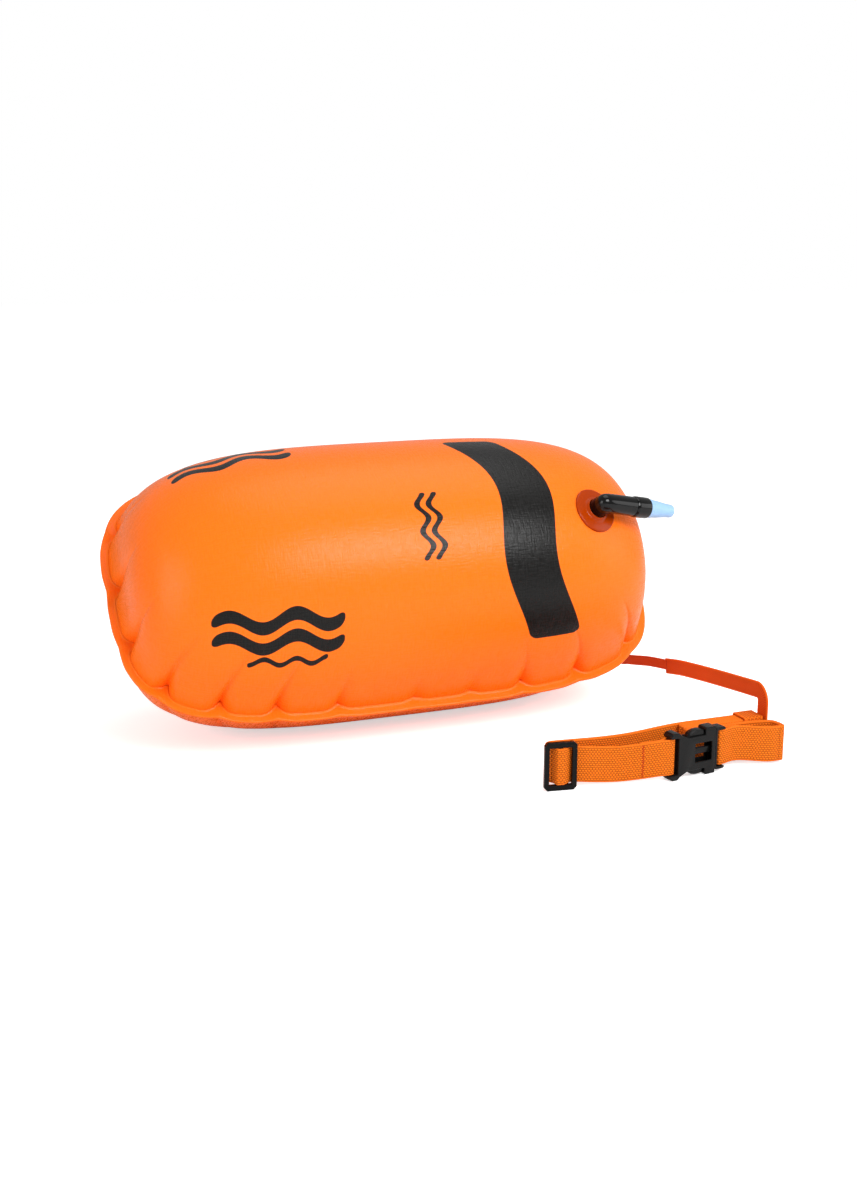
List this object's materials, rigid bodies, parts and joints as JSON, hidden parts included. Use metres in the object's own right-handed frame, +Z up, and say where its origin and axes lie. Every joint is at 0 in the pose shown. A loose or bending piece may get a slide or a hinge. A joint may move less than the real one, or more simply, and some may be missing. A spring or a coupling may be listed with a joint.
{
  "type": "open water swim buoy",
  "caption": "Inflated swim buoy with an oral valve at one end, a tether strap and an adjustable webbing waist belt with a side release buckle.",
  "frame": {"origin": "on the floor plane under the middle of the bladder, where its round back sheet rests", "axes": "+X along the bladder towards the valve and the tether, -Y towards the belt that lies in front of it, +Z up"},
  "size_m": [0.4212, 0.3144, 0.2046],
  "materials": {
    "coated_cloth": "satin coated cloth",
    "soft_disc": "glossy translucent brown orange",
    "black_tube": "glossy black",
    "black_plastic": "glossy black",
    "spring_steel": "bright wire",
    "seal_rubber": "matte",
    "pale_blue_plastic": "translucent satin",
    "buckle_plastic": "matte with a fine grain",
    "adjuster_plastic": "satin",
    "belt_webbing": "ribbed weave",
    "tab_cloth": "satin coated cloth",
    "tether_tape": "fine cross ribs"
  },
  "bodies": {
    "buoy": {"front_sheet": "coated_cloth", "back_sheet": "coated_cloth", "valve_flange": "soft_disc", "valve_elbow": "black_tube", "valve_barrel": "black_plastic", "valve_spring": "spring_steel", "buckle_female": "buckle_plastic", "belt_back_run": "belt_webbing", "belt_return_run": "belt_webbing", "belt_front_run": "belt_webbing", "belt_sewn_end": "belt_webbing", "belt_buckle_loop": "belt_webbing", "tether_tab": "tab_cloth", "tether_narrow": "tether_tape", "tether_wide": "tether_tape", "tether_sleeve": "tether_tape"},
    "ring": {"lock_ring": "black_plastic"},
    "mouth": {"mouthpiece": "pale_blue_plastic", "poppet": "black_plastic", "poppet_seal": "seal_rubber"},
    "buckle_insert": {"buckle_male": "buckle_plastic"},
    "upper_arm": {"release_arm_upper": "buckle_plastic"},
    "lower_arm": {"release_arm_lower": "buckle_plastic"},
    "adjuster": {"slide_adjuster": "adjuster_plastic"}
  },
  "joints": [
    {"name": "lock_ring_turn", "type": "hinge", "parent": "buoy", "child": "ring", "pos_m": [0.13711, -0.0861, 0.16548], "axis": [0.9619, 0.1933, -0.1933], "range_deg": [0, 90]},
    {"name": "mouthpiece_press", "type": "slide", "parent": "buoy", "child": "mouth", "axis": [-0.9619, -0.1933, 0.1933], "range_m": [0, 0.0025], "stiffness_N_per_m": 300, "deforming": ["valve_spring"]},
    {"name": "buckle_release", "type": "slide", "parent": "buoy", "child": "buckle_insert", "axis": [0.9903, 0.1392, 0], "range_m": [0, 0.025], "deforming": ["belt_buckle_loop", "release_arm_upper", "release_arm_lower"]},
    {"name": "release_arm_upper_flex", "type": "hinge", "parent": "buckle_insert", "child": "upper_arm", "pos_m": [0.16136, -0.20194, 0.0275], "axis": [0.1392, -0.9903, 0], "range_deg": [0, 9], "stiffness_Nm_per_rad": 0.02},
    {"name": "release_arm_lower_flex", "type": "hinge", "parent": "buckle_insert", "child": "lower_arm", "pos_m": [0.16136, -0.20194, 0.0055], "axis": [-0.1392, 0.9903, 0], "range_deg": [0, 9], "stiffness_Nm_per_rad": 0.02},
    {"name": "adjuster_slide", "type": "slide", "parent": "buoy", "child": "adjuster", "axis": [0.9877, -0.1564, 0], "range_m": [0, 0.04], "deforming": ["belt_front_run", "belt_sewn_end"]}
  ],
  "couplings": [
    {"joint": "release_arm_lower_flex", "follows": "release_arm_upper_flex", "ratio": 1}
  ]
}
